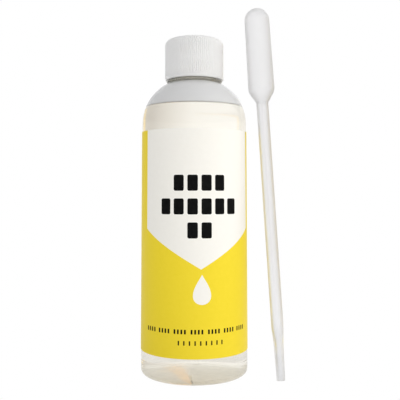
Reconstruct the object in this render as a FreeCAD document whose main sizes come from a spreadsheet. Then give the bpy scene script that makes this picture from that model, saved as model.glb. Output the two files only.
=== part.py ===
import FreeCAD, Part
import math
import os
import re

import Sketcher

Vector = FreeCAD.Vector

# Driving dimensions, in millimetres unless the note says otherwise. Heights are above the surface
# that the bottle stands on, and radii are from the bottle's axis.
SIZES = [
    ("body_radius", 20.36, "bottle body, outside, above the heel; the body tapers from here up"),
    ("shoulder_radius", 19.82, "bottle body, outside, at the foot of the shoulder"),
    ("shoulder_start", 94.8, "height where the body turns into the shoulder"),
    ("shoulder_arc", 17.4, "radius of the shoulder's arc in section"),
    ("wall", 0.45, "thickness of the blown wall"),
    ("base_wall", 0.9, "thickness of the base at the resting ring"),
    ("base_core", 1.4, "thickness of the base at its centre"),
    ("heel_radius", 2.3, "round between the body and the resting ring"),
    ("ring_width", 1.0, "width of the flat ring that the bottle stands on"),
    ("push_up", 3.9, "rise of the base at its centre"),
    ("dome_radius", 39.0, "radius of the base's dome in section"),
    ("gate_radius", 1.4, "injection gate mark under the base, and the flat middle above it"),
    ("gate_height", 0.5, "how far the gate mark stands down from the dome"),
    ("neck_base", 110.6, "height where the shoulder meets the neck"),
    ("neck_foot_radius", 9.66, "shoulder's radius at the neck"),
    ("bead_radius", 10.58, "handling bead at the foot of the neck"),
    ("bead_flare", 0.36, "height of the bead's conical underside"),
    ("bead_height", 0.8, "height of the bead's top above the neck's base"),
    ("neck_height", 14.2, "neck's base to the sealing land"),
    ("neck_radius", 8.75, "neck wall at the thread's root"),
    ("bore_radius", 7.2, "inside of the neck"),
    ("lip_chamfer", 0.3, "bevel on the outside of the land"),
    ("thread_pitch", 3.175, "eight threads to the inch"),
    ("thread_radius", 9.8, "neck thread, over its crest"),
    ("thread_turns", 1.5, "turns of the neck thread"),
    ("thread_start", 118.0, "height of the neck thread's first turn, at its middle"),
    ("thread_root_width", 1.9, "neck thread's width at its root"),
    ("thread_crest_width", 0.9, "neck thread's width at its crest"),
    ("thread_sink", 0.2, "how far a thread's root runs into its wall"),
    ("fill_level", 100.9, "height of the oil's surface"),
    ("film_gap", 0.02, "clearance between the bottle and what lies against it"),
    ("film", 0.1, "thickness of the label"),
    ("label_bottom", 9.76, "lower edge of the label"),
    ("label_top", 91.73, "upper edge of the label"),
    ("cap_radius", 11.15, "cap over its ribs"),
    ("cap_height", 15.5, "cap from rim to top"),
    ("cap_roof", 1.4, "thickness of the cap's top wall"),
    ("cap_corner", 2.5, "round at the cap's top edge"),
    ("cap_bore", 9.95, "inside of the cap's skirt"),
    ("cap_band", 1.4, "smooth band at the cap's rim"),
    ("cap_edge", 0.35, "bevel at the cap's rim"),
    ("rib_count", 90, "number of ribs round the cap"),
    ("rib_depth", 0.2, "height of a rib"),
    ("rib_width", 0.42, "width of a rib"),
    ("cap_thread_radius", 9.0, "cap thread, over its crest"),
    ("cap_thread_turns", 1.25, "turns of the cap thread"),
    ("cap_thread_root_width", 1.5, "cap thread's width at its root"),
    ("cap_thread_crest_width", 0.8, "cap thread's width at its crest"),
    ("thread_play", 0.2, "how far the cap thread sits above the middle of the neck thread's gap"),
    ("liner_radius", 9.7, "sealing liner"),
    ("liner_thickness", 1.0, "sealing liner"),
    ("pipette_length", 140.0, "tip to top of the bulb"),
    ("pipette_wall", 0.45, "thickness of the pipette's wall"),
    ("tip_bore", 0.95, "radius of the hole in the tip"),
    ("tip_edge_radius", 1.3, "outside of the tip's end face"),
    ("tip_radius", 1.52, "tip behind its rounded edge"),
    ("tip_edge_height", 0.4, "height of the tip's rounded edge"),
    ("tip_length", 14.0, "fine part of the tip"),
    ("tip_root_radius", 1.8, "fine part of the tip at its upper end"),
    ("stem_start", 19.0, "where the cone above the tip meets the stem"),
    ("stem_radius", 2.26, "stem"),
    ("stem_end", 103.3, "where the stem meets the bulb"),
    ("bulb_cone_radius", 4.58, "upper end of the bulb's lower cone"),
    ("bulb_cone_end", 107.1, "upper end of the bulb's lower cone, along the pipette"),
    ("bulb_round", 6.1, "round above the cone, in section"),
    ("bulb_radius", 4.96, "widest part of the bulb"),
    ("bulb_start", 109.3, "where the bulb is widest, along the pipette"),
    ("bulb_top_radius", 4.72, "bulb where its domed end starts"),
    ("pipette_foot_x", 31.8, "the tip stands here, to the right of the bottle's axis"),
    ("pipette_foot_y", -12.4, "the tip stands here, in front of the bottle's axis"),
    ("pipette_top_x", 23.7, "the bulb's end, to the right of the bottle's axis"),
    ("pipette_top_y", 0.0, "the bulb's end, level with the bottle's axis"),
]
ALIASES = {name for name, value, note in SIZES}


def size_sheet(doc):
    """The spreadsheet of driving dimensions: name, value with its alias, note."""
    sheet = doc.addObject("Spreadsheet::Sheet", "Sizes")
    for row, (name, value, note) in enumerate(SIZES, start=1):
        sheet.set(f"A{row}", name)
        sheet.set(f"B{row}", str(value))
        sheet.setAlias(f"B{row}", name)
        sheet.set(f"C{row}", note)
    doc.recompute()


def size_of(doc, name):
    """One dimension read from the sheet."""
    return float(doc.getObject("Sizes").get(name))


def sized(text):
    """An expression in which each dimension's name refers to the sheet."""
    return re.sub(r"[a-z_]+", lambda word: "Sizes." + word[0] if word[0] in ALIASES else word[0], text)


def new_body(doc, label):
    body = doc.addObject("PartDesign::Body", label)
    body.Label = label
    doc.recompute()
    return body


def sketch_on(body, role, name, height=None):
    """A sketch on one of the body's own origin planes, raised to a height where one is given."""
    plane = next(item for item in body.Origin.OriginFeatures if item.Role == role)
    sketch = body.newObject("Sketcher::SketchObject", name)
    sketch.AttachmentSupport = (plane, [""])
    sketch.MapMode = "FlatFace"
    if height:
        sketch.setExpression("AttachmentOffset.Base.z", sized(height))
    return sketch


def arc_between(start, end, radius, turn):
    """The short arc of a circle from start to end; turn is +1 anticlockwise and -1 clockwise."""
    chord = end - start
    rise = math.sqrt(radius ** 2 - (chord.Length / 2) ** 2)
    normal = Vector(-chord.y, chord.x, 0).normalize() * turn
    centre = (start + end) / 2 + normal * rise
    first, last = (start, end) if turn > 0 else (end, start)
    angle = [math.atan2(point.y - centre.y, point.x - centre.x) for point in (first, last)]
    return Part.ArcOfCircle(Part.Circle(centre, Vector(0, 0, 1), radius), angle[0], angle[1])


def outline(sketch, corners, arcs=None):
    """A closed outline. Each corner is a pair of expressions, across and up; arcs maps the number
    of the corner where an arc starts to its radius, as an expression, and its turn."""
    arcs = arcs or {}
    values = [[sketch.evalExpression(sized(text)) for text in corner] for corner in corners]
    points = [Vector(across, up, 0) for across, up in values]
    ends = []
    for index, point in enumerate(points):
        following = points[(index + 1) % len(points)]
        if index in arcs:
            radius, turn = arcs[index]
            curve = arc_between(point, following, sketch.evalExpression(sized(radius)), turn)
            edge = sketch.addGeometry(curve)
            ends.append((edge, 1, 2) if turn > 0 else (edge, 2, 1))
            bind(sketch, sized(radius), "Radius", edge, curve.Radius)
        else:
            edge = sketch.addGeometry(Part.LineSegment(point, following))
            ends.append((edge, 1, 2))
    for index, (edge, start, end) in enumerate(ends):
        before, _, before_end = ends[index - 1]
        sketch.addConstraint(Sketcher.Constraint("Coincident", before, before_end, edge, start))
        placing = zip((-2, -1), ("DistanceX", "DistanceY"), corners[index], values[index])
        for axis, kind, text, value in placing:
            if value == 0:
                sketch.addConstraint(Sketcher.Constraint("PointOnObject", edge, start, axis))
            else:
                bind(sketch, sized(text), kind, -1, 1, edge, start, value)


def bind(sketch, expression, kind, *arguments):
    """A dimension constraint whose value follows the sheet."""
    number = sketch.addConstraint(Sketcher.Constraint(kind, *arguments))
    sketch.setExpression(f"Constraints[{number}]", expression)


def revolve(body, name, corners, arcs=None):
    """A solid turned from an outline of radius and height about the body's Z axis."""
    sketch = sketch_on(body, "XZ_Plane", name + "_outline")
    outline(sketch, corners, arcs)
    body.Document.recompute()
    turned = body.newObject("PartDesign::Revolution", name)
    turned.Profile = sketch
    turned.ReferenceAxis = (sketch, ["V_Axis"])
    turned.Angle = 360
    body.Document.recompute()
    return turned


def add_thread(body, name, root, crest, middle, root_width, crest_width, turns):
    """A right-hand thread of trapezoid section, wound about the body's Z axis."""
    sketch = sketch_on(body, "XZ_Plane", name + "_section")
    outline(sketch, [
        (root, f"{middle} - {root_width} / 2"),
        (crest, f"{middle} - {crest_width} / 2"),
        (crest, f"{middle} + {crest_width} / 2"),
        (root, f"{middle} + {root_width} / 2"),
    ])
    body.Document.recompute()
    thread = body.newObject("PartDesign::AdditiveHelix", name)
    thread.Profile = sketch
    thread.ReferenceAxis = (sketch, ["V_Axis"])
    thread.Mode = 0
    thread.setExpression("Pitch", sized("thread_pitch"))
    thread.setExpression("Height", sized(f"thread_pitch * {turns}"))
    body.Document.recompute()
    return thread


def make_bottle(doc):
    """The blown shell, open at the neck, with its base pushed up and its neck threaded."""
    body = new_body(doc, "bottle")
    bead_top = "neck_base + bead_height"
    land = "neck_base + neck_height"
    ring_outside = "body_radius - heel_radius"
    ring_inside = "body_radius - heel_radius - ring_width"
    revolve(body, "shell", [
        ("0", "push_up - gate_height"),
        ("gate_radius", "push_up - gate_height"),
        ("gate_radius", "push_up"),
        (ring_inside, "0"),
        (ring_outside, "0"),
        ("body_radius", "heel_radius"),
        ("shoulder_radius", "shoulder_start"),
        ("neck_foot_radius", "neck_base"),
        ("bead_radius", "neck_base + bead_flare"),
        ("bead_radius", bead_top),
        ("neck_radius", bead_top),
        ("neck_radius", land + " - lip_chamfer"),
        ("neck_radius - lip_chamfer", land),
        ("bore_radius", land),
        ("bore_radius", "neck_base + wall"),
        ("shoulder_radius - wall", "shoulder_start"),
        ("body_radius - wall", "heel_radius"),
        (ring_outside, "base_wall"),
        (ring_inside, "base_wall"),
        ("gate_radius", "push_up + base_core"),
        ("0", "push_up + base_core"),
    ], {
        2: ("dome_radius", -1),
        4: ("heel_radius", 1),
        6: ("shoulder_arc", 1),
        14: ("shoulder_arc - wall", -1),
        16: ("heel_radius - wall", -1),
        18: ("dome_radius", 1),
    })
    add_thread(body, "neck_thread", "neck_radius - thread_sink", "thread_radius", "thread_start",
               "thread_root_width", "thread_crest_width", "thread_turns")
    return body


def make_oil(doc):
    """The oil: the bottle's inside, turned up to the neck and then cut level at the fill line."""
    body = new_body(doc, "oil")
    turned = revolve(body, "inside", [
        ("0", "push_up + base_core + film_gap"),
        ("gate_radius", "push_up + base_core + film_gap"),
        ("body_radius - heel_radius - ring_width", "base_wall + film_gap"),
        ("body_radius - heel_radius", "base_wall + film_gap"),
        ("body_radius - wall - film_gap", "heel_radius"),
        ("shoulder_radius - wall - film_gap", "shoulder_start"),
        ("bore_radius", "neck_base + wall - film_gap"),
        ("0", "neck_base + wall - film_gap"),
    ], {
        1: ("dome_radius", -1),
        3: ("heel_radius - wall - film_gap", 1),
        5: ("shoulder_arc - wall - film_gap", 1),
    })
    sketch = sketch_on(body, "XY_Plane", "surface", height="fill_level")
    radius = size_of(doc, "body_radius")
    circle = sketch.addGeometry(Part.Circle(Vector(0, 0, 0), Vector(0, 0, 1), radius))
    sketch.addConstraint(Sketcher.Constraint("Coincident", circle, 3, -1, 1))
    bind(sketch, sized("body_radius"), "Radius", circle, radius)
    doc.recompute()
    cut = body.newObject("PartDesign::Pocket", "headspace")
    cut.Profile = sketch
    cut.Type = "ThroughAll"
    cut.Reversed = True
    doc.recompute()
    if not cut.Shape.Volume < turned.Shape.Volume:
        raise RuntimeError("the headspace was not cut from the oil")
    return body


def make_label(doc):
    """The printed film round the body, which follows the body's taper."""
    body = new_body(doc, "label")
    bottom_radius, top_radius = (
        f"body_radius - (body_radius - shoulder_radius) * ({edge} - heel_radius)"
        " / (shoulder_start - heel_radius)"
        for edge in ("label_bottom", "label_top"))
    revolve(body, "film_ring", [
        (bottom_radius + " + film_gap", "label_bottom"),
        (bottom_radius + " + film_gap + film", "label_bottom"),
        (top_radius + " + film_gap + film", "label_top"),
        (top_radius + " + film_gap", "label_top"),
    ])
    return body


def make_cap(doc):
    """The screw cap: a skirt with ribs above a smooth band, a rounded top edge and a thread."""
    body = new_body(doc, "cap")
    top = "neck_base + neck_height + liner_thickness + cap_roof"
    rim = f"{top} - cap_height"
    roof = "neck_base + neck_height + liner_thickness"
    rib_root = "cap_radius - rib_depth"
    revolve(body, "skirt", [
        ("cap_bore", rim),
        ("cap_radius - cap_edge", rim),
        ("cap_radius", rim + " + cap_edge"),
        ("cap_radius", rim + " + cap_band"),
        (rib_root, rim + " + cap_band"),
        (rib_root, top + " - cap_corner"),
        (rib_root + " - cap_corner", top),
        ("0", top),
        ("0", roof),
        ("cap_bore", roof),
    ], {5: ("cap_corner", 1)})
    add_thread(body, "cap_thread", "cap_bore + thread_sink", "cap_thread_radius",
               "thread_start - thread_pitch / 2 + thread_play",
               "cap_thread_root_width", "cap_thread_crest_width", "cap_thread_turns")
    section = sketch_on(body, "XY_Plane", "rib_section", height=rim + " + cap_band")
    outline(section, [
        (rib_root + " - rib_depth", "0 - rib_width / 2"),
        (rib_root, "0 - rib_width / 2"),
        ("cap_radius", "0 - rib_width / 4"),
        ("cap_radius", "rib_width / 4"),
        (rib_root, "rib_width / 2"),
        (rib_root + " - rib_depth", "rib_width / 2"),
    ])
    doc.recompute()
    rib = body.newObject("PartDesign::Pad", "rib")
    rib.Profile = section
    rib.setExpression("Length", sized("cap_height - cap_band - cap_corner"))
    doc.recompute()
    ribs = body.newObject("PartDesign::PolarPattern", "ribs")
    ribs.Originals = [rib]
    ribs.Axis = (section, ["N_Axis"])
    ribs.Angle = 360
    ribs.setExpression("Occurrences", sized("rib_count"))
    body.Tip = ribs
    doc.recompute()
    return body


def make_liner(doc):
    """The sealing disc between the cap's roof and the neck's land."""
    liner = doc.addObject("Part::Cylinder", "cap_liner")
    liner.Label = "cap_liner"
    liner.setExpression("Radius", sized("liner_radius"))
    liner.setExpression("Height", sized("liner_thickness"))
    liner.setExpression("Placement.Base.z", sized("neck_base + neck_height"))
    doc.recompute()
    return liner


def make_pipette(doc):
    """The one-piece transfer pipette: open tip, stem and bulb, turned about its own axis from the
    tip upwards, then stood beside the bottle with its bulb leaning towards the neck."""
    body = new_body(doc, "pipette")
    revolve(body, "moulding", [
        ("tip_bore", "0"),
        ("tip_edge_radius", "0"),
        ("tip_radius", "tip_edge_height"),
        ("tip_root_radius", "tip_length"),
        ("stem_radius", "stem_start"),
        ("stem_radius", "stem_end"),
        ("bulb_cone_radius", "bulb_cone_end"),
        ("bulb_radius", "bulb_start"),
        ("bulb_top_radius", "pipette_length - bulb_top_radius"),
        ("0", "pipette_length"),
        ("0", "pipette_length - pipette_wall"),
        ("bulb_top_radius - pipette_wall", "pipette_length - bulb_top_radius"),
        ("bulb_radius - pipette_wall", "bulb_start"),
        ("bulb_cone_radius - pipette_wall", "bulb_cone_end + pipette_wall / 2"),
        ("stem_radius - pipette_wall", "stem_end + pipette_wall / 2"),
        ("stem_radius - pipette_wall", "stem_start"),
        ("tip_bore", "tip_length"),
    ], {
        6: ("bulb_round", 1),
        8: ("bulb_top_radius", 1),
        10: ("bulb_top_radius - pipette_wall", -1),
        12: ("bulb_round - pipette_wall", -1),
    })
    length, foot_x, foot_y, top_x, top_y, edge = (
        size_of(doc, name) for name in
        ("pipette_length", "pipette_foot_x", "pipette_foot_y", "pipette_top_x", "pipette_top_y",
         "tip_edge_radius"))
    lean = Vector(top_x - foot_x, top_y - foot_y, 0)
    rise = math.sqrt(length ** 2 - lean.Length ** 2)
    tip_lift = edge * lean.Length / length
    body.Placement = FreeCAD.Placement(
        Vector(foot_x, foot_y, tip_lift),
        FreeCAD.Rotation(Vector(0, 0, 1), Vector(lean.x, lean.y, rise)))
    doc.recompute()
    return body


def check(doc, parts):
    """Stop unless every object recomputed and every part is one valid solid."""
    for item in doc.Objects:
        if {"Invalid", "Error"} & set(item.State):
            raise RuntimeError(f"{item.Name} failed: {item.State}")
        if item.isDerivedFrom("Sketcher::SketchObject") and not item.FullyConstrained:
            raise RuntimeError(f"{item.Name} is not fully constrained")
    for part in parts:
        shape = part.Shape
        if shape.isNull() or not shape.isValid() or len(shape.Solids) != 1:
            raise RuntimeError(f"{part.Label} is not one valid solid")


def main():
    doc = FreeCAD.newDocument("oil_bottle")
    size_sheet(doc)
    parts = [make(doc) for make in (make_bottle, make_oil, make_label, make_cap, make_liner, make_pipette)]
    doc.recompute()
    check(doc, parts)
    os.makedirs("parts", exist_ok=True)
    for part in parts:
        part.Shape.exportStep(f"parts/{part.Label}.step")
        box = part.Shape.BoundBox
        print(f"{part.Label}: {part.Shape.Volume:.1f} mm3, z {box.ZMin:.2f} to {box.ZMax:.2f}")


main()
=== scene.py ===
import math

import bmesh
import bpy
from mathutils import Matrix, Vector, geometry


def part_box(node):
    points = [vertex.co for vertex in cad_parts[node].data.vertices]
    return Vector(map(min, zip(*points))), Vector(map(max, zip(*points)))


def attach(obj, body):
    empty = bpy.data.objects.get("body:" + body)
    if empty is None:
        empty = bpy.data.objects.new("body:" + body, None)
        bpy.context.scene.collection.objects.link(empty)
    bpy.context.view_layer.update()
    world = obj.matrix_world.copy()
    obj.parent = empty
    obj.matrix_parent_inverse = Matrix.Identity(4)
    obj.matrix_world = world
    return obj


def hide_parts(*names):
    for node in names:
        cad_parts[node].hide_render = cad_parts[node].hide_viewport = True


# A clear round bottle of cutting oil, with its screw cap and wrap-around label, and the transfer
# pipette that comes with it. The pieces are drawn in millimetres, and new_piece turns them into metres.

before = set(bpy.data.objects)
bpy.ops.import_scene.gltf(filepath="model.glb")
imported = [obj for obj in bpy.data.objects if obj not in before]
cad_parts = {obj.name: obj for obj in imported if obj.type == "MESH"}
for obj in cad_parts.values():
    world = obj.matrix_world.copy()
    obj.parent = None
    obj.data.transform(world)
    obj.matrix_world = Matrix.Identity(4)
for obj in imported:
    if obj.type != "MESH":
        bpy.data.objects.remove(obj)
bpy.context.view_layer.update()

MM = 0.001


# ---------------------------------------------------------------- outlines

def arc(start, end, radius, turn, steps):
    """Points of the short arc from start to end, ends included; turn is +1 anticlockwise."""
    start, end = Vector(start), Vector(end)
    chord = end - start
    rise = math.sqrt(radius ** 2 - (chord.length / 2) ** 2)
    centre = (start + end) / 2 + Vector((-chord.y, chord.x)).normalized() * turn * rise
    first = math.atan2(*(start - centre).yx)
    last = math.atan2(*(end - centre).yx)
    sweep = (last - first) * turn % (2 * math.pi) * turn
    angles = (first + sweep * i / steps for i in range(steps + 1))
    return [centre + radius * Vector((math.cos(angle), math.sin(angle))) for angle in angles]


def rounded(corners, steps=5):
    """An open run of corners (across, up, round), with each one between its ends rounded off."""
    points = []
    for index, (across, up, radius) in enumerate(corners):
        here = Vector((across, up))
        if radius == 0 or index in (0, len(corners) - 1):
            points.append(here)
            continue
        before = Vector(corners[index - 1][:2]) - here
        after = Vector(corners[index + 1][:2]) - here
        half = before.angle(after) / 2
        reach = min(radius / math.tan(half), before.length * 0.49, after.length * 0.49)
        start, end = here + before.normalized() * reach, here + after.normalized() * reach
        turn = 1 if before.x * after.y - before.y * after.x < 0 else -1
        points += arc(start, end, reach * math.tan(half), turn, steps)
    return points


def evenly(points, step):
    """The same run of points with long stretches divided so that none is longer than step."""
    dense = [Vector(points[0])]
    for point in points[1:]:
        gap = Vector(point) - dense[-1]
        count = max(1, math.ceil(gap.length / step))
        start = dense[-1]
        dense += [start + gap * (i + 1) / count for i in range(count)]
    return dense


# ---------------------------------------------------------------- meshes

def new_piece(name, mesh, body, replaces, materials, sharp=35):
    """A finished piece: its mesh comes in millimetres, in the object's frame, and rides on its body."""
    mesh.transform(Matrix.Scale(MM, 4))
    for polygon in mesh.polygons:
        polygon.use_smooth = True
    mesh.set_sharp_from_angle(angle=math.radians(sharp))
    for material in materials:
        mesh.materials.append(material)
    piece = bpy.data.objects.new(name, mesh)
    bpy.context.scene.collection.objects.link(piece)
    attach(piece, body)
    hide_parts(*replaces)
    return piece


def finished(mesh, name):
    """A bmesh's data, with its faces all turned outwards."""
    bmesh.ops.recalc_face_normals(mesh, faces=mesh.faces)
    data = bpy.data.meshes.new(name)
    mesh.to_mesh(data)
    mesh.free()
    return data


def lathe(name, outline, segments, shift=None):
    """A solid of revolution about Z from a closed outline of (radius, height). Points on the axis
    become poles. shift(angle, radius, height) gives a point's extra radius."""
    mesh = bmesh.new()
    rings = []
    for radius, height in outline:
        if radius < 1e-6:
            rings.append([mesh.verts.new((0, 0, height))] * segments)
            continue
        ring = []
        for i in range(segments):
            angle = 2 * math.pi * i / segments
            reach = radius + (shift(angle, radius, height) if shift else 0)
            ring.append(mesh.verts.new((reach * math.cos(angle), reach * math.sin(angle), height)))
        rings.append(ring)
    for lower, upper in zip(rings, rings[1:] + rings[:1]):
        for i in range(segments):
            j = (i + 1) % segments
            corners = list(dict.fromkeys((lower[i], lower[j], upper[j], upper[i])))
            if len(corners) > 2:
                mesh.faces.new(corners)
    return finished(mesh, name)


# ---------------------------------------------------------------- sizes

bottle_low, bottle_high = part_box("bottle")
_, oil_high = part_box("oil")
label_low, label_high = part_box("label")
cap_low, cap_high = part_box("cap")
liner_low, liner_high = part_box("cap_liner")

BODY = bottle_high.x / MM
LAND = bottle_high.z / MM
FILL = oil_high.z / MM
LABEL_BOTTOM, LABEL_TOP = label_low.z / MM, label_high.z / MM
CAP_RADIUS = cap_high.x / MM
CAP_RIM, CAP_TOP = cap_low.z / MM, cap_high.z / MM
LINER_RADIUS = liner_high.x / MM

SHOULDER_START, SHOULDER_RADIUS, SHOULDER_ARC = 94.8, 19.82, 17.4
NECK_BASE, NECK_FOOT, NECK_RADIUS, BORE_RADIUS = LAND - 14.2, 9.66, 8.75, 7.2
BEAD_RADIUS, BEAD_FLARE, BEAD_HEIGHT = 10.58, 0.36, 0.8
THREAD_PITCH, THREAD_RADIUS, THREAD_START = 3.175, 9.8, LAND - 6.8
WALL, BASE_WALL, BASE_CORE = 0.45, 0.9, 1.4
HEEL, RING_WIDTH, PUSH_UP, DOME_RADIUS = 2.3, 1.0, 3.9, 39.0
GATE_RADIUS, GATE_HEIGHT = 1.4, 0.5
FILM_GAP, FILM = 0.02, 0.1


def body_radius(height):
    """The bottle's outside radius between the heel and the shoulder."""
    return BODY + (SHOULDER_RADIUS - BODY) * (height - HEEL) / (SHOULDER_START - HEEL)


# ---------------------------------------------------------------- materials

def shader(name, **values):
    """A Principled material with constant inputs; returns the material, its tree and the shader."""
    material = bpy.data.materials.new(name)
    material.use_nodes = True
    tree = material.node_tree
    principled = tree.nodes["Principled BSDF"]
    for key, value in values.items():
        principled.inputs[key.replace("_", " ")].default_value = value
    return material, tree, principled


def axes(tree, coordinates="Object"):
    """The X, Y and Z of the point that is shaded."""
    place = tree.nodes.new("ShaderNodeTexCoord")
    split = tree.nodes.new("ShaderNodeSeparateXYZ")
    tree.links.new(place.outputs[coordinates], split.inputs["Vector"])
    return [split.outputs[axis] for axis in "XYZ"]


def noise(tree, scale, detail=4.0, stretch=(1, 1, 1)):
    """A noise texture in object space, stretched along the axes."""
    place = tree.nodes.new("ShaderNodeTexCoord")
    mapping = tree.nodes.new("ShaderNodeMapping")
    mapping.inputs["Scale"].default_value = stretch
    texture = tree.nodes.new("ShaderNodeTexNoise")
    texture.inputs["Scale"].default_value = scale
    texture.inputs["Detail"].default_value = detail
    tree.links.new(place.outputs["Object"], mapping.inputs["Vector"])
    tree.links.new(mapping.outputs["Vector"], texture.inputs["Vector"])
    return texture.outputs["Fac"]


def bump(tree, principled, height, strength, distance):
    """Small relief on the surface, up to distance high."""
    node = tree.nodes.new("ShaderNodeBump")
    node.inputs["Strength"].default_value = strength
    node.inputs["Distance"].default_value = distance
    tree.links.new(height, node.inputs["Height"])
    tree.links.new(node.outputs["Normal"], principled.inputs["Normal"])


def map_range(tree, value, source, target):
    """The value carried from the source range to the target range, and held at its ends."""
    node = tree.nodes.new("ShaderNodeMapRange")
    node.inputs["From Min"].default_value, node.inputs["From Max"].default_value = source
    node.inputs["To Min"].default_value, node.inputs["To Max"].default_value = target
    tree.links.new(value, node.inputs["Value"])
    return node.outputs["Result"]


def combine(tree, operation, *values):
    """The result of a Math node, each of whose inputs is a number or another node's output."""
    node = tree.nodes.new("ShaderNodeMath")
    node.operation = operation
    for socket, value in zip(node.inputs, values):
        if isinstance(value, (int, float)):
            socket.default_value = value
        else:
            tree.links.new(value, socket)
    return node.outputs["Value"]


def ramp(tree, factor, stops):
    """A colour that runs through the stops, each a (factor, colour) pair, in rising order."""
    node = tree.nodes.new("ShaderNodeValToRGB")
    elements = node.color_ramp.elements
    for number, (position, colour) in enumerate(stops):
        stop = elements[number] if number < 2 else elements.new(1.0)
        stop.position = position
        stop.color = (*colour, 1)
    tree.links.new(factor, node.inputs["Fac"])
    return node.outputs["Color"]


# most of a noise's values lie between these
NOISE_LOW, NOISE_HIGH = 0.3, 0.7


def spread(tree, factor, low, high, socket):
    """A value that varies between low and high with a noise, linked to the socket."""
    tree.links.new(map_range(tree, factor, (NOISE_LOW, NOISE_HIGH), (low, high)), socket)


def tint(tree, factor, low, high, socket):
    """A colour that varies between low and high with a noise, linked to the socket."""
    tree.links.new(ramp(tree, factor, [(NOISE_LOW, low), (NOISE_HIGH, high)]), socket)


def clear_pet():
    """Clear blown PET. Just above the oil's edge a narrow darker, browner band is painted on it as painted
    shade, for the dark line that the liquid's surface shows; above that a film of oil makes the shoulder
    hazy. The moulded neck is clearer, and tinted a little yellow: partly its own tint, partly painted shade
    from the cap above it."""
    material, tree, principled = shader("clear_pet", IOR=1.57)
    height = axes(tree)[2]
    filmed, neck = (map_range(tree, height, (low * MM, high * MM), (0.0, 1.0))
                    for low, high in ((FILL - 0.1, FILL + 0.9), (NECK_BASE - 0.3, NECK_BASE + 0.1)))
    zone = combine(tree, "MULTIPLY", combine(tree, "ADD", filmed, neck), 0.5)
    # the line colour is painted shade: a darker, browner band just above the oil's edge, standing in for the
    # dark line of the liquid's surface
    clear, line = (0.985, 0.985, 0.98), (0.72, 0.69, 0.60)
    # the neck's tint is partly the PET's own colour and partly painted shade, for the shade under the cap
    hazy, neck_tint_and_shade = (0.92, 0.925, 0.935), (0.97, 0.95, 0.86)
    stops = [(0.0, clear), (0.11, clear), (0.16, line), (0.25, line), (0.30, hazy), (0.5, hazy),
             (1.0, neck_tint_and_shade)]
    tree.links.new(ramp(tree, zone, stops), principled.inputs["Base Color"])
    tree.links.new(map_range(tree, zone, (0.0, 0.7), (0.02, 0.22)), principled.inputs["Roughness"])
    haze, cleared = 0.65, 0.45
    through = combine(tree, "MULTIPLY_ADD", filmed, -haze, 1.0)
    through = combine(tree, "MULTIPLY_ADD", neck, cleared, through)
    tree.links.new(through, principled.inputs["Transmission Weight"])
    waves = noise(tree, 90, 2.0, stretch=(1, 1, 0.35))
    bump(tree, principled, waves, 0.12, 0.0004)
    return material


def oil_liquid():
    """Clear yellow oil, which takes its colour from its depth."""
    material, tree, principled = shader("oil", Base_Color=(1.0, 0.995, 0.97, 1), Roughness=0.0,
                                        IOR=1.47, Transmission_Weight=1.0)
    absorb = tree.nodes.new("ShaderNodeVolumeAbsorption")
    absorb.inputs["Color"].default_value = (1.0, 0.87, 0.62, 1)
    absorb.inputs["Density"].default_value = 6.0
    output = tree.nodes["Material Output"]
    tree.links.new(absorb.outputs["Volume"], output.inputs["Volume"])
    return material


def print_film(name, low, high, roughness, gloss=1.35, **values):
    """Printed label stock: colour with a faint mottle, and a satin surface."""
    material, tree, principled = shader(name, IOR=gloss, **values)
    mottle = noise(tree, 700, 3.0)
    tint(tree, mottle, low, high, principled.inputs["Base Color"])
    spread(tree, mottle, roughness - 0.03, roughness + 0.03, principled.inputs["Roughness"])
    bump(tree, principled, noise(tree, 1400, 2.0), 0.05, 0.00002)
    return material


def white_moulding():
    """White polypropylene, slightly translucent, with a fine matt texture."""
    material, tree, principled = shader("white_cap", IOR=1.49, Subsurface_Weight=1.0,
                                        Subsurface_Scale=2.5 * MM, Subsurface_Radius=(1, 1, 1))
    mottle = noise(tree, 420, 4.0)
    tint(tree, mottle, (0.93, 0.93, 0.925), (0.96, 0.96, 0.955), principled.inputs["Base Color"])
    spread(tree, mottle, 0.36, 0.44, principled.inputs["Roughness"])
    bump(tree, principled, noise(tree, 2600, 3.0), 0.12, 0.00003)
    return material


def liner_foam():
    """Off-white foam with fine cells."""
    material, tree, principled = shader("liner_foam", IOR=1.5, Subsurface_Weight=1.0,
                                        Subsurface_Scale=3 * MM, Subsurface_Radius=(1, 1, 1))
    cells = noise(tree, 2200, 5.0)
    tint(tree, cells, (0.80, 0.80, 0.78), (0.92, 0.92, 0.90), principled.inputs["Base Color"])
    spread(tree, cells, 0.55, 0.75, principled.inputs["Roughness"])
    bump(tree, principled, cells, 0.4, 0.0001)
    return material


def pipette_plastic():
    """Colourless polyethylene, hazy from its rough faces."""
    material, tree, principled = shader("pipette_plastic", Base_Color=(0.99, 0.99, 0.995, 1), IOR=1.51,
                                        Transmission_Weight=1.0)
    haze = noise(tree, 500, 3.0, stretch=(1, 1, 0.2))
    spread(tree, haze, 0.29, 0.33, principled.inputs["Roughness"])
    bump(tree, principled, haze, 0.04, 0.00006)
    return material


# ---------------------------------------------------------------- bottle and oil

def thread_height(angle, height, start, turns, root_width, crest_width, depth):
    """How far a helical thread stands out of its wall at this angle and height. It fades out over a
    short part of a turn at each end."""
    fade = 0.12
    best = 0.0
    for turn in range(-1, 3):
        along = angle / (2 * math.pi) + turn
        if not 0 <= along <= turns:
            continue
        off = abs(height - start - along * THREAD_PITCH)
        rise = (root_width / 2 - off) / ((root_width - crest_width) / 2)
        ends = min(1.0, along / fade, (turns - along) / fade)
        best = max(best, depth * min(1.0, max(0.0, rise)) * max(0.0, ends))
    return best


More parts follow.
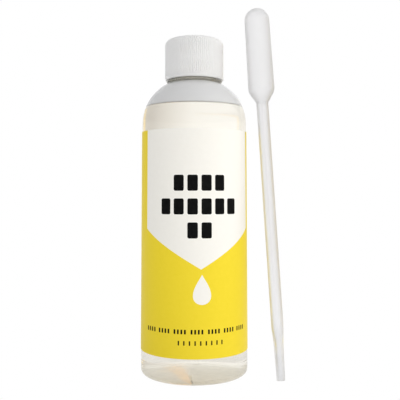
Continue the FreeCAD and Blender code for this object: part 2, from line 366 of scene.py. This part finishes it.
def make_bottle():
    """The shell in one outline: up its outside from the middle of the base, and down its inside."""
    bead_top, gate_foot = NECK_BASE + BEAD_HEIGHT, PUSH_UP - GATE_HEIGHT
    ring_out, ring_in = BODY - HEEL, BODY - HEEL - RING_WIDTH
    bead_round, lip_round = 0.15, 0.3
    outline = rounded([(0, gate_foot, 0), (GATE_RADIUS, gate_foot, 0.15), (GATE_RADIUS, PUSH_UP, 0)])[:-1]
    outline += arc((GATE_RADIUS, PUSH_UP), (ring_in, 0), DOME_RADIUS, -1, 24)
    outline += arc((ring_out, 0), (BODY, HEEL), HEEL, 1, 16)
    outline += evenly([(BODY, HEEL), (SHOULDER_RADIUS, SHOULDER_START)], 4)[1:-1]
    outline += arc((SHOULDER_RADIUS, SHOULDER_START), (NECK_FOOT, NECK_BASE), SHOULDER_ARC, 1, 48)
    neck = rounded([(NECK_FOOT, NECK_BASE, 0), (BEAD_RADIUS, NECK_BASE + BEAD_FLARE, bead_round),
                    (BEAD_RADIUS, bead_top, bead_round), (NECK_RADIUS, bead_top, 0.25),
                    (NECK_RADIUS, LAND, lip_round), (BORE_RADIUS, LAND, lip_round),
                    (BORE_RADIUS, NECK_BASE + WALL, 0)])
    outline += evenly(neck, 0.16)[1:-1]
    outline += arc((BORE_RADIUS, NECK_BASE + WALL), (SHOULDER_RADIUS - WALL, SHOULDER_START),
                   SHOULDER_ARC - WALL, -1, 48)
    outline += evenly([(SHOULDER_RADIUS - WALL, SHOULDER_START), (BODY - WALL, HEEL)], 4)[1:-1]
    outline += arc((BODY - WALL, HEEL), (ring_out, BASE_WALL), HEEL - WALL, -1, 16)
    outline += arc((ring_in, BASE_WALL), (GATE_RADIUS, PUSH_UP + BASE_CORE), DOME_RADIUS, 1, 24)
    outline.append(Vector((0, PUSH_UP + BASE_CORE)))

    def shift(angle, radius, height):
        """The thread, on the neck's outside above the bead."""
        if radius >= NECK_RADIUS - 0.01 and bead_top + lip_round < height < LAND - lip_round:
            return thread_height(angle, height, THREAD_START, turns=1.5, root_width=1.9, crest_width=0.9,
                                 depth=THREAD_RADIUS - NECK_RADIUS)
        return 0.0

    mesh = lathe("bottle_shell", outline, 192, shift)
    return new_piece("bottle_shell", mesh, "bottle", ["bottle"], [clear_pet()])


def make_oil():
    """The liquid wets the wall: its sides and its floor lie inside the wall's thickness, and its surface
    climbs the wall in a small meniscus."""
    inset, floor, core = WALL * 0.6, BASE_WALL * 0.7, PUSH_UP + BASE_CORE * 0.7
    ring_out, ring_in = BODY - HEEL, BODY - HEEL - RING_WIDTH
    shoulder = arc((SHOULDER_RADIUS - inset, SHOULDER_START), (BORE_RADIUS, NECK_BASE + inset),
                   SHOULDER_ARC - inset, 1, 120)
    climb, reach, steps = 0.35, 1.8, 10
    shoulder = [point for point in shoulder if point.y < FILL + climb]
    edge = shoulder[-1]
    outline = [Vector((0, core))]
    outline += arc((GATE_RADIUS, core), (ring_in, floor), DOME_RADIUS, -1, 24)
    outline += arc((ring_out, floor), (BODY - inset, HEEL), HEEL - inset, 1, 16)
    outline += evenly([(BODY - inset, HEEL), (SHOULDER_RADIUS - inset, SHOULDER_START)], 4)[1:-1]
    outline += shoulder
    outline += [Vector((edge.x - reach * i / steps, FILL + (edge.y - FILL) * (1 - i / steps) ** 3))
                for i in range(1, steps + 1)]
    outline.append(Vector((0, FILL)))
    mesh = lathe("oil_fill", outline, 128)
    return new_piece("oil_fill", mesh, "bottle", ["oil"], [oil_liquid()])


# ---------------------------------------------------------------- label

FRONT = -math.pi / 2
ART_TURN = math.radians(7.4)
YELLOW, WHITE, INK, BACK = range(4)


def inside(point, loop):
    """Whether a point lies inside a closed loop."""
    hit = False
    for (ax, ay), (bx, by) in zip(loop, loop[1:] + loop[:1]):
        if (ay > point.y) != (by > point.y) and point.x < ax + (point.y - ay) / (by - ay) * (bx - ax):
            hit = not hit
    return hit


def drop_shape(bottom, radius, height):
    """A plain drop: a round foot whose sides draw in to a point."""
    x, y = bottom
    points, steps = [], 28
    for i in range(steps):
        turn = 2 * math.pi * i / steps
        swell = math.sin(turn / 2) ** 1.35
        points.append((x + radius * math.sin(turn) * swell, y + height * (1 + math.cos(turn)) / 2))
    return points


def block_shape(left, bottom, width, height, corner):
    """A rectangle with rounded corners."""
    right, top = left + width, bottom + height
    ring = [(x, y, corner) for x, y in ((left, bottom), (right, bottom), (right, top), (left, top))]
    return [(p.x, p.y) for p in rounded(ring + ring[:2], 3)[1:-1]]


def print_blocks():
    """Stands in for the wording: three rows of equal rounded blocks, and two rows of small strokes."""
    blocks = []

    def add_row(left, foot, count, pitch, width, height, corner):
        blocks.extend(block_shape(left + i * pitch, foot, width, height, corner) for i in range(count))

    middle, pitch, width, height = -0.5, 5.1, 3.8, 5.7
    heading_rows = [
        # foot, blocks
        (69.4, 4),
        (61.0, 6),
        (52.5, 2),
    ]
    for foot, count in heading_rows:
        left = middle - ((count - 1) * pitch + width) / 2
        add_row(left, foot, count, pitch, width, height, corner=0.6)
    small_rows = [
        # left, foot, groups, strokes in a group, pitch, a stroke's width
        (-22.4, 18.6, 7, 4, 1.28, 0.66),
        (-8.4, 14.6, 1, 9, 2.0, 0.5),
    ]
    space, height = 1.1, 1.65
    for left, foot, groups, strokes, pitch, width in small_rows:
        for group in range(groups):
            start = left + group * (strokes * pitch + space)
            add_row(start, foot, strokes, pitch, width, height, corner=0.15)
    return blocks


def artwork():
    """The printed zones and their materials, the uppermost first. They lie flat, in millimetres along
    the wrap from its middle and up from the surface that the bottle stands on."""
    window_half = math.radians(66) * BODY
    window_corner, window_point = 55.6, 41.5
    window = [(-window_half, LABEL_TOP), (-window_half, window_corner), (0, window_point),
              (window_half, window_corner), (window_half, LABEL_TOP)]
    drop = drop_shape(bottom=(0.35, 29.0), radius=4.6, height=10.7)
    return [(drop, WHITE)] + [(block, INK) for block in print_blocks()] + [(window, WHITE)]


def flat_film(left, right, zones):
    """The points and triangles of the film laid flat, divided along the outlines of its zones."""
    points, edges = [], []

    def add_loop(loop):
        dense = evenly(loop + loop[:1], 1.0)[:-1]
        start = len(points)
        points.extend(dense)
        edges.extend((start + i, start + (i + 1) % len(dense)) for i in range(len(dense)))

    add_loop([(left, LABEL_BOTTOM), (right, LABEL_BOTTOM), (right, LABEL_TOP), (left, LABEL_TOP)])
    for loop, _ in zones:
        add_loop(loop)
    length, height = right - left, LABEL_TOP - LABEL_BOTTOM
    columns, rows = int(length / 1.4), int(height / 3)
    points += [Vector((left + length * i / columns, LABEL_BOTTOM + height * j / rows))
               for i in range(1, columns) for j in range(1, rows)]
    flat, _, triangles, _, _, _ = geometry.delaunay_2d_cdt(points, edges, [], 0, 1e-5)
    return flat, triangles


def make_label():
    """The wrap-around film: its artwork, laid out flat, goes round the bottle and laps over itself at the
    back."""
    half_wrap = math.pi * (BODY + FILM_GAP)
    lap, lap_rise, sink = 4.0, 1.5, 0.08
    zones = artwork()
    flat, triangles = flat_film(-half_wrap, half_wrap + lap, zones)
    mesh = bmesh.new()

    def wrap(point, lift):
        """A point of the film on the bottle. Its glued face, with no lift, sinks a little into the wall, so
        that no air lies between them, and its end rises to lap over its beginning."""
        over = min(1.0, max(0.0, (point.x - (half_wrap - lap_rise)) / lap_rise))
        glued = sink * (1 - over) if lift == 0 else 0.0
        radius = body_radius(point.y) + FILM_GAP + lift - glued + over * (FILM + FILM_GAP)
        angle = FRONT + ART_TURN + point.x / (BODY + FILM_GAP)
        return radius * math.cos(angle), radius * math.sin(angle), point.y

    outer = [mesh.verts.new(wrap(p, FILM)) for p in flat]
    inner = [mesh.verts.new(wrap(p, 0.0)) for p in flat]
    for triangle in triangles:
        a, b, c = (flat[i] for i in triangle)
        middle = (a + b + c) / 3
        zone = next((kind for loop, kind in zones if inside(middle, loop)), YELLOW)
        mesh.faces.new([outer[i] for i in triangle]).material_index = zone
        mesh.faces.new([inner[i] for i in reversed(triangle)]).material_index = BACK
    rim = [edge for edge in mesh.edges if len(edge.link_faces) == 1]
    pair = dict(zip(outer, inner))
    for edge in rim:
        a, b = edge.verts
        if a in pair:
            mesh.faces.new((a, b, pair[b], pair[a])).material_index = BACK
    materials = [
        print_film("label_yellow", (0.92, 0.718, 0.032), (0.94, 0.733, 0.037), 0.45, gloss=1.2),
        print_film("label_white", (0.955, 0.935, 0.875), (0.97, 0.95, 0.89), 0.45),
        print_film("label_ink", (0.004, 0.004, 0.004), (0.008, 0.008, 0.008), 0.5, gloss=1.1),
        # the film's glued face. It glows with painted light: an emission that stands in for the daylight that
        # comes through the film
        print_film("label_back_glow", (0.94, 0.92, 0.86), (0.97, 0.95, 0.89), 0.5, Subsurface_Weight=1.0,
                   Subsurface_Scale=FILM * 4 * MM, Subsurface_Radius=(1, 1, 1),
                   Emission_Color=(1, 0.97, 0.93, 1), Emission_Strength=0.33),
    ]
    return new_piece("label_wrap", finished(mesh, "label_wrap"), "bottle", ["label"], materials)


# ---------------------------------------------------------------- cap and liner

def make_cap():
    """A cap that is ribbed above a plain band, and whose inner thread runs between the neck's turns."""
    ribs, rib_depth, band, corner, fade = 90, 0.2, 1.4, 2.5, 0.25
    bore, roof, edge = 9.95, CAP_TOP - 1.4, 0.35
    gate_radius, gate_depth, thread_crest = 0.8, 0.15, 9.0
    outline = rounded([(0, roof, 0), (bore, roof, 0.3), (bore, CAP_RIM, 0.2), (CAP_RADIUS, CAP_RIM, edge),
                       (CAP_RADIUS, CAP_TOP, corner), (gate_radius + 0.3, CAP_TOP, 0.1),
                       (gate_radius, CAP_TOP - gate_depth, 0.1), (0, CAP_TOP - gate_depth, 0)], 14)
    outline = evenly(outline, 0.25)

    def shift(angle, radius, height):
        """The thread inside, and outside the grooves between the ribs."""
        if radius <= bore + 0.05 and height < roof - 0.5:
            start = THREAD_START - THREAD_PITCH / 2 + 0.2
            return -thread_height(angle, height, start, turns=1.25, root_width=1.5, crest_width=0.8,
                                  depth=bore - thread_crest)
        if radius < CAP_RADIUS - corner or height < CAP_RIM + band - fade:
            return 0.0
        lower = min(1.0, (height - CAP_RIM - band + fade) / fade)
        upper = min(1.0, max(0.0, (radius - (CAP_RADIUS - corner)) / (corner * 0.7)))
        wave = 0.5 + 0.5 * math.cos(angle * ribs)
        groove = 1 - wave ** 0.6
        return -rib_depth * groove * lower * upper

    mesh = lathe("screw_cap", outline, ribs * 8, shift)
    return new_piece("screw_cap", mesh, "cap", ["cap"], [white_moulding()], sharp=60)


def make_liner():
    low, high, edge = liner_low.z / MM, liner_high.z / MM, 0.12
    outline = rounded([(0, low, 0), (LINER_RADIUS, low, edge), (LINER_RADIUS, high, edge), (0, high, 0)], 4)
    mesh = lathe("sealing_liner", outline, 96)
    return new_piece("sealing_liner", mesh, "liner", ["cap_liner"], [liner_foam()])


# ---------------------------------------------------------------- pipette

PARTING = math.radians(50)


def make_pipette():
    """Turned about its own axis from the tip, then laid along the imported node's axis."""
    vertices = [vertex.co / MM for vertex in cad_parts["pipette"].data.vertices]
    lowest = min(vertex.z for vertex in vertices)
    tip_ring = [vertex for vertex in vertices if vertex.z < lowest + 0.35]
    foot = sum(tip_ring, Vector()) / len(tip_ring)
    apex = max(vertices, key=lambda vertex: (vertex - foot).length)
    length = (apex - foot).length
    wall, stem, bulb, bulb_top = 0.45, 2.26, 4.96, 4.72
    bore, tip, taper, taper_end, stem_start = 0.95, 1.52, 1.8, 14.0, 19.0
    stem_end, cone_end, bulb_start, dome = 103.3, 107.1, 109.3, length - bulb_top
    cone, collar, collar_round = 4.4, 4.58, 6.1
    outer = [(bore, 0, 0), (tip, 0, 0.35), (taper, taper_end, 4), (stem, stem_start, 6),
             (stem, stem_end - 0.6, 0), (stem - 0.1, stem_end - 0.2, 0), (stem + 0.15, stem_end + 0.2, 0),
             (cone, cone_end - 0.3, 0)]
    outline = evenly(rounded(outer, 8), 2.0)
    outline += arc((collar, cone_end), (bulb, bulb_start), collar_round, 1, 8)
    outline += evenly([(bulb, bulb_start), (bulb_top, dome)], 3.0)[1:-1]
    outline += arc((bulb_top, dome), (0, length), bulb_top, 1, 24)
    outline += arc((0, length - wall), (bulb_top - wall, dome), bulb_top - wall, -1, 24)
    outline += evenly([(bulb_top - wall, dome), (bulb - wall, bulb_start)], 3.0)[1:-1]
    outline += arc((bulb - wall, bulb_start), (collar - wall, cone_end + 0.2), collar_round - wall, -1, 8)
    inner = [(cone - wall, cone_end - 0.1, 0), (stem - wall, stem_end + 0.3, 1.5),
             (stem - wall, stem_start, 6), (bore, taper_end, 4), (bore, 0.3, 0)]
    outline += evenly(rounded(inner, 8), 2.0)

    def shift(angle, radius, height):
        """The parting line of the mould: a fine ridge down each side."""
        if radius < stem - 0.2 or abs(height - length / 2) > length / 2 - 8:
            return 0.0
        ridge, ridge_width = 0.06, 0.22
        away = abs((angle - PARTING + math.pi / 2) % math.pi - math.pi / 2) * radius
        return ridge * math.exp(-(away / ridge_width) ** 2)

    mesh = lathe("transfer_pipette", outline, 160, shift)
    turn = (apex - foot).to_track_quat("Z", "Y").to_matrix().to_4x4()
    mesh.transform(Matrix.Translation(foot) @ turn)
    return new_piece("transfer_pipette", mesh, "pipette", ["pipette"], [pipette_plastic()])


# ---------------------------------------------------------------- studio

def screens(tree, x, y, strength):
    """The tint that two soft screens out of sight behind, to the right, give the light that comes from
    there: a warm grey one, and a narrow yellow one beyond it."""
    bearing = combine(tree, "MULTIPLY", combine(tree, "ARCTAN2", x, y), strength)
    white, yellow, widest = (1, 1, 1), (1.0, 0.72, 0.2), 1.5
    tints = [(0.0, white), (0.35, (0.79, 0.77, 0.745)), (0.6, (0.63, 0.60, 0.57)), (0.94, (0.56, 0.52, 0.46)),
             (1.02, yellow), (1.15, yellow), (1.3, white)]
    stops = [(angle / widest, colour) for angle, colour in tints]
    return ramp(tree, combine(tree, "DIVIDE", bearing, widest), stops)


def seen_or_lighting(tree, seen, lighting):
    """One shader where the camera sees the studio itself, and another where it lights the object."""
    path = tree.nodes.new("ShaderNodeLightPath")
    mix = tree.nodes.new("ShaderNodeMixShader")
    tree.links.new(path.outputs["Is Camera Ray"], mix.inputs["Fac"])
    tree.links.new(lighting, mix.inputs[1])
    tree.links.new(seen, mix.inputs[2])
    return mix.outputs["Shader"]


def make_world():
    """A white backdrop, and soft light from all round. It is strongest from the front right, weakest from
    the front left, and a little weaker overhead than level with the object. Seen through the clear pieces
    it is equally strong on every side."""
    around, from_right, from_corners, overhead = 1.03, 0.68, 0.36, 0.75
    world = bpy.data.worlds.new("studio")
    world.use_nodes = True
    tree = world.node_tree
    tree.nodes.clear()
    link = tree.links.new
    x, y, z = axes(tree, "Generated")
    corners = combine(tree, "MULTIPLY_ADD", combine(tree, "MULTIPLY", x, y), -from_corners, around)
    level = combine(tree, "MULTIPLY_ADD", x, from_right, corners)
    level = combine(tree, "MULTIPLY", level, map_range(tree, z, (0.3, 0.9), (1.0, overhead)))
    path = tree.nodes.new("ShaderNodeLightPath")
    evened = combine(tree, "MULTIPLY_ADD", combine(tree, "SUBTRACT", 1.0, level),
                     path.outputs["Is Transmission Ray"], level)
    lit = tree.nodes.new("ShaderNodeBackground")
    link(evened, lit.inputs["Strength"])
    low = map_range(tree, z, (0.2, 0.4), (1.0, 0.0))
    link(screens(tree, x, y, low), lit.inputs["Color"])
    backdrop = tree.nodes.new("ShaderNodeBackground")
    backdrop.inputs["Color"].default_value = (1, 1, 1, 1)
    output = tree.nodes.new("ShaderNodeOutputWorld")
    link(seen_or_lighting(tree, backdrop.outputs["Background"], lit.outputs["Background"]),
         output.inputs["Surface"])
    bpy.context.scene.world = world


def make_floor():
    """A lit white table: to the camera it is plain white and shows no shadow. It glows, sending soft light up
    into the bottle's base; that light holds a painted contact shadow, a little less from close beside the
    bottle, and farther out a painted reflection of the two screens' tints."""
    mesh = bpy.data.meshes.new("floor")
    half, gap = 30.0, 0.02 * MM
    mesh.from_pydata([(-half, -half, 0), (half, -half, 0), (half, half, 0), (-half, half, 0)],
                     [], [(0, 1, 2, 3)])
    floor = bpy.data.objects.new("floor", mesh)
    floor.location.z = bottle_low.z - gap
    bpy.context.scene.collection.objects.link(floor)
    material = bpy.data.materials.new("floor_white")
    material.use_nodes = True
    tree = material.node_tree
    tree.nodes.clear()
    seen, lighting = (tree.nodes.new("ShaderNodeEmission") for _ in range(2))
    x, y, _ = axes(tree)
    away_squared = combine(tree, "MULTIPLY_ADD", x, x, combine(tree, "MULTIPLY", y, y))
    # painted reflection: away from the bottle, the screens' tints are painted onto the light that the table
    # sends
    painted_reflection_mask = map_range(tree, away_squared, (0.03, 0.12), (0.0, 1.0))
    tree.links.new(screens(tree, x, y, painted_reflection_mask), lighting.inputs["Color"])
    # painted contact shadow: the table's light is dimmer close beside the bottle
    tree.links.new(map_range(tree, away_squared, (0.0005, 0.008), (0.80, 1.0)), lighting.inputs["Strength"])
    output = tree.nodes.new("ShaderNodeOutputMaterial")
    tree.links.new(seen_or_lighting(tree, seen.outputs["Emission"], lighting.outputs["Emission"]),
                   output.inputs["Surface"])
    mesh.materials.append(material)


def make_camera():
    """Level, in front of the bottle and a little to its right."""
    data = bpy.data.cameras.new("camera")
    data.sensor_width = 36
    data.lens = 59.79
    data.shift_y = -0.00775
    camera = bpy.data.objects.new("camera", data)
    camera.location = (0.002207, -0.25496, 0.06722)
    camera.rotation_euler = (math.pi / 2, 0, 0)
    bpy.context.scene.collection.objects.link(camera)
    bpy.context.scene.camera = camera


def let_light_through():
    """Enough bounces for light to cross the wall and the oil more than once, and be reflected in the base."""
    paths = bpy.context.scene.cycles
    paths.max_bounces = 48
    paths.transmission_bounces = 48
    paths.glossy_bounces = 24
    paths.diffuse_bounces = 12


make_bottle()
make_oil()
make_label()
make_cap()
make_liner()
make_pipette()
make_world()
make_floor()
make_camera()
bpy.context.scene.view_settings.view_transform = "Standard"
let_light_through()
